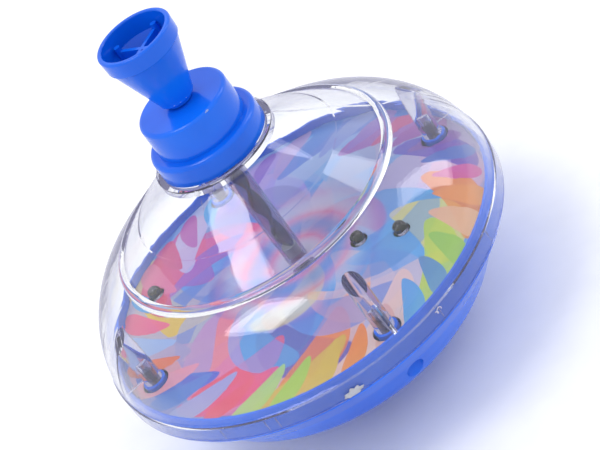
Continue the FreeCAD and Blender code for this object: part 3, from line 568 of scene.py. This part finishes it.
def add_marks():
    """Lumps of weld and gate, scratches, a fibre of lint, and the flash under the knob."""
    dome = shell_tree("dome")
    clouded = clear_plastic("clouded_clear", (0.96, 0.97, 1.0), milkiness=0.6, roughness=0.25)
    whitened = matte_plastic("whitened_plastic", (0.82, 0.83, 0.9), 0.45)
    scuffed = matte_plastic("scuffed_blue", (0.3, 0.42, 0.85), 0.5)
    lint = matte_plastic("lint_white", (0.9, 0.9, 0.92), 0.7)
    blob("weld_blob", 76.8, -97.7, SKIRT_FOOT, (2.9, 0.32, 1.3), whitened)
    blob("gate_mark", 22.5, -127.2, 103.3, (1.2, 0.3, 0.9), whitened)
    blob("cap_chip", 16.2, -72.1, 124.6, (0.7, 0.25, 0.3), scuffed)
    for number, degrees in enumerate((-133.6, -120.8, -117.7, -69.5, -45.0)):
        heights = (0.0, 2.2, 4.6)
        points = [around(SKIRT_RADIUS, degrees, SKIRT_FOOT + height) for height in heights]
        mark = rod(points, [0.12 * MM, 0.2 * MM, 0.12 * MM])
        new_piece(f"skirt_mark_{number}", mark, clouded)
    scratch = [on_top(dome, 74.4 + 0.26 * step, -73.5 - 1.1 * step, 0.02) for step in range(5)]
    new_piece("dome_scratch", rod(scratch, SCRATCH_RADII), clouded)
    tail = [on_top(dome, 22.9 + 0.75 * step, -127.0 + 0.4 * step, 0.02) for step in range(5)]
    new_piece("gate_tail", rod(tail, SCRATCH_RADII), clouded)
    curl = []
    for step in range(15):
        swing = 2.0 * math.pi * step / 9.0
        degrees = -70.9 + 0.14 * step + 0.45 * math.sin(swing)
        curl.append(around(77.55, degrees, 47.6 + 0.7 * math.cos(swing) + 0.05 * step))
    new_piece("lint_fibre", rod(curl, [0.1 * MM] * len(curl)), lint)
    flash, flash_radii = [], []
    for step in range(12):
        reach = 6.35 + 0.25 * math.sin(step * 1.3)
        flash.append(around(reach, -118.0 + 4.4 * step, 128.1))
        flash_radii.append(0.06 * MM + 0.05 * MM * abs(math.sin(step)))
    new_piece("knob_flash", rod(flash, flash_radii), scuffed, "handle")


add_marks()

# ---------------------------------------------------------------- studio

AIM = Vector((7.3 * MM, 0.0, 58.3 * MM))
CAMERA_DISTANCE = 0.7578
ELEVATION = math.radians(32.78)
ROLL = math.radians(36.43)
FOCAL_LENGTH, SENSOR_WIDTH = 132.0, 36.0
NEAREST_SEEN = 0.01


def make_camera():
    """The camera at the photograph's viewing angle, which is tilted against the spin axis."""
    data = bpy.data.cameras.new("camera")
    data.lens = FOCAL_LENGTH
    data.sensor_width = SENSOR_WIDTH
    data.clip_start = NEAREST_SEEN
    camera = bpy.data.objects.new("camera", data)
    bpy.context.scene.collection.objects.link(camera)
    away = Vector((0.0, -math.cos(ELEVATION), math.sin(ELEVATION)))
    level = Vector((1.0, 0.0, 0.0))
    upright = away.cross(level)
    right = level * math.cos(ROLL) - upright * math.sin(ROLL)
    up = level * math.sin(ROLL) + upright * math.cos(ROLL)
    turn = Matrix((right, up, away)).transposed().to_4x4()
    camera.matrix_world = Matrix.Translation(AIM + away * CAMERA_DISTANCE) @ turn
    bpy.context.scene.camera = camera


def area_light(name, azimuth, elevation, distance, size, power):
    """A soft box that faces the top. Azimuth 0 is the viewer's side, growing towards +X."""
    data = bpy.data.lights.new(name, "AREA")
    data.shape = "RECTANGLE"
    data.size, data.size_y = size
    data.energy = power
    light = bpy.data.objects.new(name, data)
    bpy.context.scene.collection.objects.link(light)
    a, e = math.radians(azimuth), math.radians(elevation)
    out = Vector((math.sin(a) * math.cos(e), -math.cos(a) * math.cos(e), math.sin(e)))
    light.location = AIM + out * distance
    light.rotation_mode = "QUATERNION"
    light.rotation_quaternion = out.to_track_quat("Z", "Y")


STUDIO_SKY, SKY_STRENGTH = (0.97, 0.98, 1.0), 1.0
FLOOR_HALF = 6.0
FLOOR_DARK, FLOOR_LIGHT = (0.93, 0.93, 0.93), (0.96, 0.96, 0.96)


def make_studio():
    """An even pale sky, a pale floor and three soft boxes."""
    scene = bpy.context.scene
    scene.view_settings.view_transform = "Standard"
    world = bpy.data.worlds.new("studio")
    scene.world = world
    world.use_nodes = True
    background = world.node_tree.nodes["Background"].inputs
    background["Color"].default_value = rgba(STUDIO_SKY)
    background["Strength"].default_value = SKY_STRENGTH
    mesh = bpy.data.meshes.new("floor")
    corners = [(-1, -1), (1, -1), (1, 1), (-1, 1)]
    mesh.from_pydata([(x * FLOOR_HALF, y * FLOOR_HALF, 0) for x, y in corners], [], [(0, 1, 2, 3)])
    floor = bpy.data.objects.new("floor", mesh)
    scene.collection.objects.link(floor)
    tree = Tree("pale_floor")
    speckle = tree.noise(tree.place(), scale=60.0, detail=2.0)
    shade = tree.blend(tree.between(speckle, 0.3, 0.7), rgba(FLOOR_DARK), rgba(FLOOR_LIGHT))
    mesh.materials.append(tree.finish(principled(tree, Base_Color=shade, Roughness=0.9)))
    area_light("window", azimuth=-70.0, elevation=68.0, distance=1.1, size=(0.5, 0.4), power=3.0)
    area_light("fill", azimuth=100.0, elevation=32.0, distance=1.3, size=(0.35, 0.9), power=2.6)
    area_light("back", azimuth=170.0, elevation=45.0, distance=1.8, size=(1.2, 0.6), power=0.8)


make_camera()
make_studio()

bpy.context.view_layer.update()
